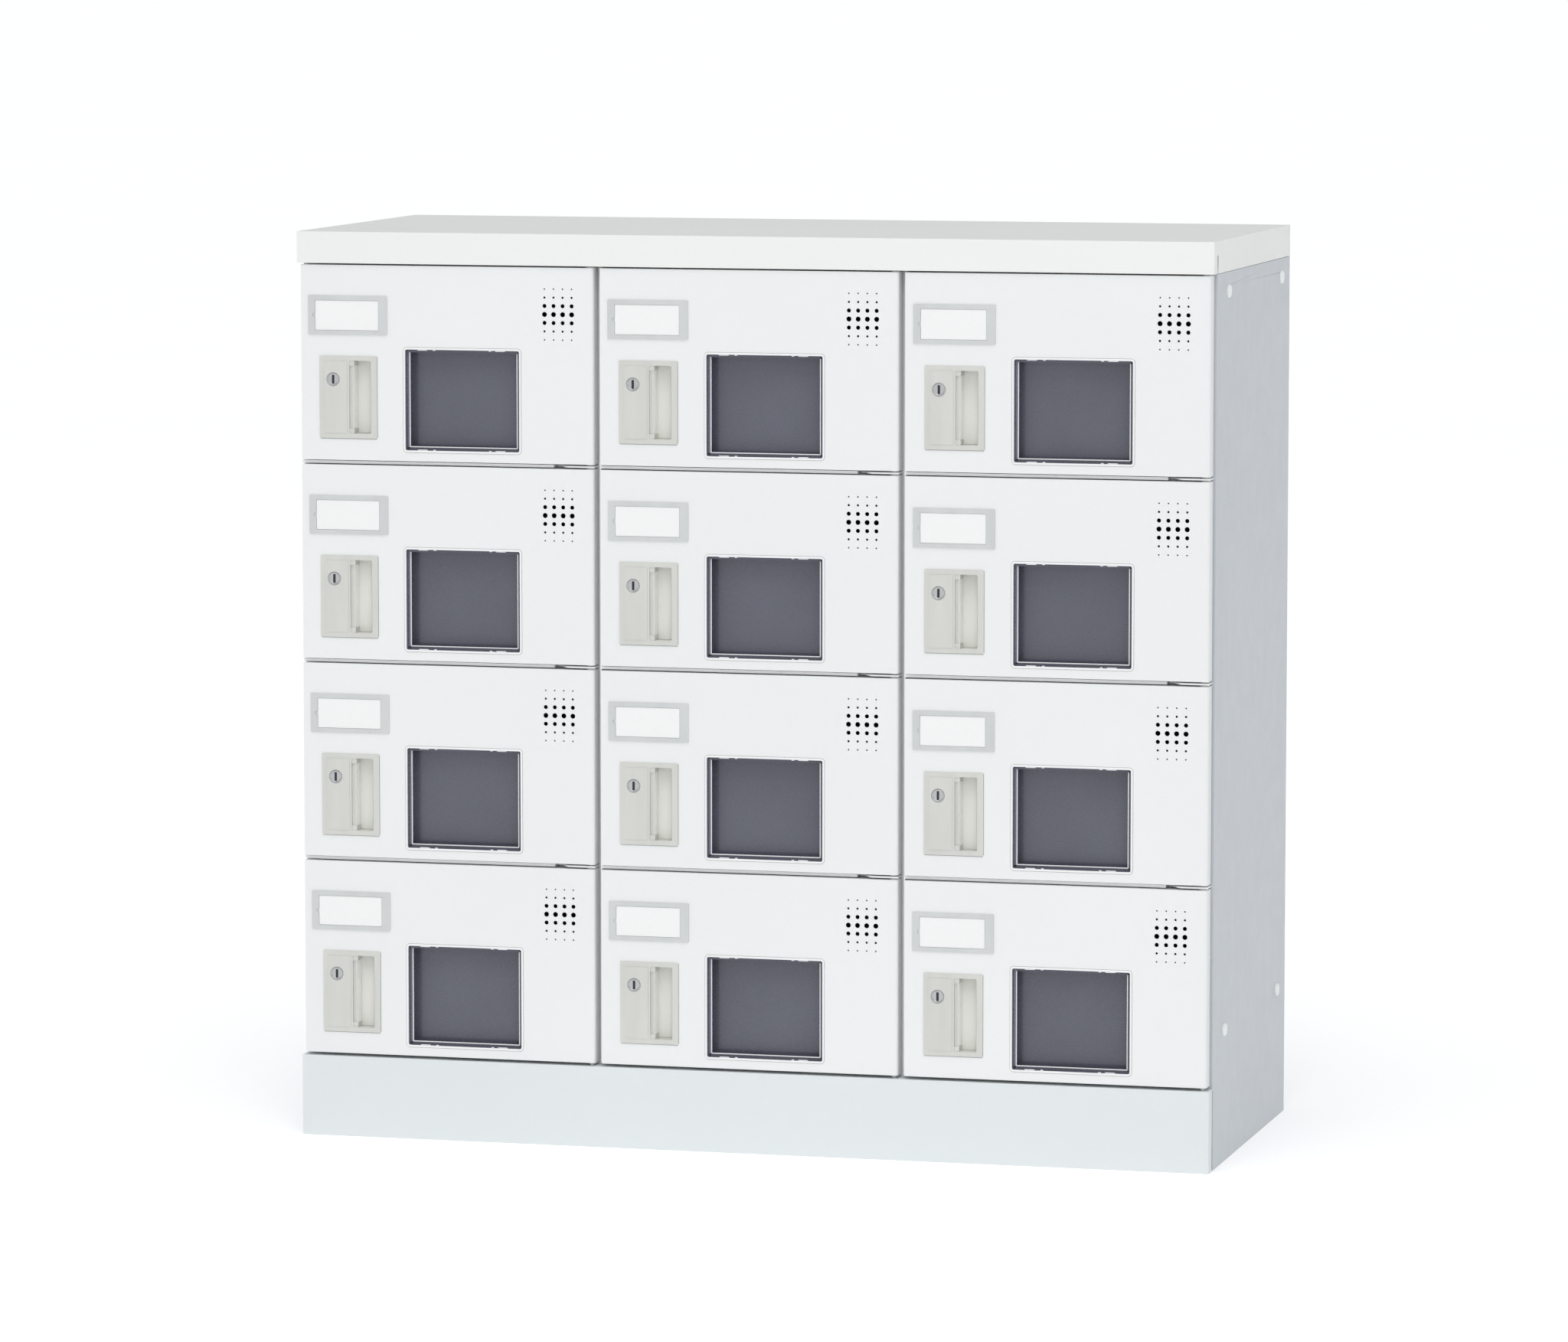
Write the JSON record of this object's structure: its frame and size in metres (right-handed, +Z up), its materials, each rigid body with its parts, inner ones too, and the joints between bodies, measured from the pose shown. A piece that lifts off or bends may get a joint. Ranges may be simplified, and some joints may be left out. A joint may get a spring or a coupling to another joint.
{
  "type": "parcel locker",
  "caption": "Counter-height steel locker with rows of small hinged doors, each with a key lock, finger pull, name-card frame, smoked window and vent holes.",
  "frame": {"origin": "on the floor, under the middle of the locker's width and depth", "axes": "+X along the width to the viewer's right, +Y to the back, +Z up; the doors face -Y"},
  "size_m": [0.9042, 0.38, 0.88],
  "materials": {
    "casing_paint": "satin",
    "door_paint": "satin",
    "white_plastic": "satin",
    "beige_plastic": "satin",
    "smoked_window": "gloss",
    "lock_chrome": "polished",
    "hinge_steel": "satin"
  },
  "bodies": {
    "cabinet": {"top_cap": "casing_paint", "side_panel_left": "casing_paint", "side_panel_right": "casing_paint", "bolt_hole_plugs": "white_plastic", "plinth": "casing_paint", "shelves": "casing_paint", "bottom_panel": "casing_paint", "dividers": "casing_paint", "inner_top": "casing_paint", "back_panel": "casing_paint", "front_frame": "casing_paint", "hinges": "hinge_steel"},
    "door_r1c1": {"door_panel_r1c1": "door_paint", "lock_case_r1c1": "beige_plastic", "window_r1c1": "smoked_window"},
    "lock_r1c1": {"lock_plug_r1c1": "lock_chrome"},
    "door_r1c2": {"door_panel_r1c2": "door_paint", "lock_case_r1c2": "beige_plastic", "window_r1c2": "smoked_window"},
    "lock_r1c2": {"lock_plug_r1c2": "lock_chrome"},
    "door_r1c3": {"door_panel_r1c3": "door_paint", "lock_case_r1c3": "beige_plastic", "window_r1c3": "smoked_window"},
    "lock_r1c3": {"lock_plug_r1c3": "lock_chrome"},
    "door_r2c1": {"door_panel_r2c1": "door_paint", "lock_case_r2c1": "beige_plastic", "window_r2c1": "smoked_window"},
    "lock_r2c1": {"lock_plug_r2c1": "lock_chrome"},
    "door_r2c2": {"door_panel_r2c2": "door_paint", "lock_case_r2c2": "beige_plastic", "window_r2c2": "smoked_window"},
    "lock_r2c2": {"lock_plug_r2c2": "lock_chrome"},
    "door_r2c3": {"door_panel_r2c3": "door_paint", "lock_case_r2c3": "beige_plastic", "window_r2c3": "smoked_window"},
    "lock_r2c3": {"lock_plug_r2c3": "lock_chrome"},
    "door_r3c1": {"door_panel_r3c1": "door_paint", "lock_case_r3c1": "beige_plastic", "window_r3c1": "smoked_window"},
    "lock_r3c1": {"lock_plug_r3c1": "lock_chrome"},
    "door_r3c2": {"door_panel_r3c2": "door_paint", "lock_case_r3c2": "beige_plastic", "window_r3c2": "smoked_window"},
    "lock_r3c2": {"lock_plug_r3c2": "lock_chrome"},
    "door_r3c3": {"door_panel_r3c3": "door_paint", "lock_case_r3c3": "beige_plastic", "window_r3c3": "smoked_window"},
    "lock_r3c3": {"lock_plug_r3c3": "lock_chrome"},
    "door_r4c1": {"door_panel_r4c1": "door_paint", "lock_case_r4c1": "beige_plastic", "window_r4c1": "smoked_window"},
    "lock_r4c1": {"lock_plug_r4c1": "lock_chrome"},
    "door_r4c2": {"door_panel_r4c2": "door_paint", "lock_case_r4c2": "beige_plastic", "window_r4c2": "smoked_window"},
    "lock_r4c2": {"lock_plug_r4c2": "lock_chrome"},
    "door_r4c3": {"door_panel_r4c3": "door_paint", "lock_case_r4c3": "beige_plastic", "window_r4c3": "smoked_window"},
    "lock_r4c3": {"lock_plug_r4c3": "lock_chrome"}
  },
  "joints": [
    {"name": "door_hinge_r1c1", "type": "hinge", "parent": "cabinet", "child": "door_r1c1", "pos_m": [-0.1585, -0.18, 0.75395], "axis": [0, 0, 1], "range_deg": [0, 105]},
    {"name": "key_turn_r1c1", "type": "hinge", "parent": "door_r1c1", "child": "lock_r1c1", "pos_m": [-0.414, -0.188, 0.73782], "axis": [0, 1, 0], "range_deg": [0, 90]},
    {"name": "door_hinge_r1c2", "type": "hinge", "parent": "cabinet", "child": "door_r1c2", "pos_m": [0.1415, -0.18, 0.75395], "axis": [0, 0, 1], "range_deg": [0, 105]},
    {"name": "key_turn_r1c2", "type": "hinge", "parent": "door_r1c2", "child": "lock_r1c2", "pos_m": [-0.114, -0.188, 0.73782], "axis": [0, 1, 0], "range_deg": [0, 90]},
    {"name": "door_hinge_r1c3", "type": "hinge", "parent": "cabinet", "child": "door_r1c3", "pos_m": [0.4415, -0.18, 0.75395], "axis": [0, 0, 1], "range_deg": [0, 105]},
    {"name": "key_turn_r1c3", "type": "hinge", "parent": "door_r1c3", "child": "lock_r1c3", "pos_m": [0.186, -0.188, 0.73782], "axis": [0, 1, 0], "range_deg": [0, 90]},
    {"name": "door_hinge_r2c1", "type": "hinge", "parent": "cabinet", "child": "door_r2c1", "pos_m": [-0.1585, -0.18, 0.56115], "axis": [0, 0, 1], "range_deg": [0, 105]},
    {"name": "key_turn_r2c1", "type": "hinge", "parent": "door_r2c1", "child": "lock_r2c1", "pos_m": [-0.414, -0.188, 0.54502], "axis": [0, 1, 0], "range_deg": [0, 90]},
    {"name": "door_hinge_r2c2", "type": "hinge", "parent": "cabinet", "child": "door_r2c2", "pos_m": [0.1415, -0.18, 0.56115], "axis": [0, 0, 1], "range_deg": [0, 105]},
    {"name": "key_turn_r2c2", "type": "hinge", "parent": "door_r2c2", "child": "lock_r2c2", "pos_m": [-0.114, -0.188, 0.54502], "axis": [0, 1, 0], "range_deg": [0, 90]},
    {"name": "door_hinge_r2c3", "type": "hinge", "parent": "cabinet", "child": "door_r2c3", "pos_m": [0.4415, -0.18, 0.56115], "axis": [0, 0, 1], "range_deg": [0, 105]},
    {"name": "key_turn_r2c3", "type": "hinge", "parent": "door_r2c3", "child": "lock_r2c3", "pos_m": [0.186, -0.188, 0.54502], "axis": [0, 1, 0], "range_deg": [0, 90]},
    {"name": "door_hinge_r3c1", "type": "hinge", "parent": "cabinet", "child": "door_r3c1", "pos_m": [-0.1585, -0.18, 0.36835], "axis": [0, 0, 1], "range_deg": [0, 105]},
    {"name": "key_turn_r3c1", "type": "hinge", "parent": "door_r3c1", "child": "lock_r3c1", "pos_m": [-0.414, -0.188, 0.35222], "axis": [0, 1, 0], "range_deg": [0, 90]},
    {"name": "door_hinge_r3c2", "type": "hinge", "parent": "cabinet", "child": "door_r3c2", "pos_m": [0.1415, -0.18, 0.36835], "axis": [0, 0, 1], "range_deg": [0, 105]},
    {"name": "key_turn_r3c2", "type": "hinge", "parent": "door_r3c2", "child": "lock_r3c2", "pos_m": [-0.114, -0.188, 0.35222], "axis": [0, 1, 0], "range_deg": [0, 90]},
    {"name": "door_hinge_r3c3", "type": "hinge", "parent": "cabinet", "child": "door_r3c3", "pos_m": [0.4415, -0.18, 0.36835], "axis": [0, 0, 1], "range_deg": [0, 105]},
    {"name": "key_turn_r3c3", "type": "hinge", "parent": "door_r3c3", "child": "lock_r3c3", "pos_m": [0.186, -0.188, 0.35222], "axis": [0, 1, 0], "range_deg": [0, 90]},
    {"name": "door_hinge_r4c1", "type": "hinge", "parent": "cabinet", "child": "door_r4c1", "pos_m": [-0.1585, -0.18, 0.17555], "axis": [0, 0, 1], "range_deg": [0, 105]},
    {"name": "key_turn_r4c1", "type": "hinge", "parent": "door_r4c1", "child": "lock_r4c1", "pos_m": [-0.414, -0.188, 0.15942], "axis": [0, 1, 0], "range_deg": [0, 90]},
    {"name": "door_hinge_r4c2", "type": "hinge", "parent": "cabinet", "child": "door_r4c2", "pos_m": [0.1415, -0.18, 0.17555], "axis": [0, 0, 1], "range_deg": [0, 105]},
    {"name": "key_turn_r4c2", "type": "hinge", "parent": "door_r4c2", "child": "lock_r4c2", "pos_m": [-0.114, -0.188, 0.15942], "axis": [0, 1, 0], "range_deg": [0, 90]},
    {"name": "door_hinge_r4c3", "type": "hinge", "parent": "cabinet", "child": "door_r4c3", "pos_m": [0.4415, -0.18, 0.17555], "axis": [0, 0, 1], "range_deg": [0, 105]},
    {"name": "key_turn_r4c3", "type": "hinge", "parent": "door_r4c3", "child": "lock_r4c3", "pos_m": [0.186, -0.188, 0.15942], "axis": [0, 1, 0], "range_deg": [0, 90]}
  ]
}
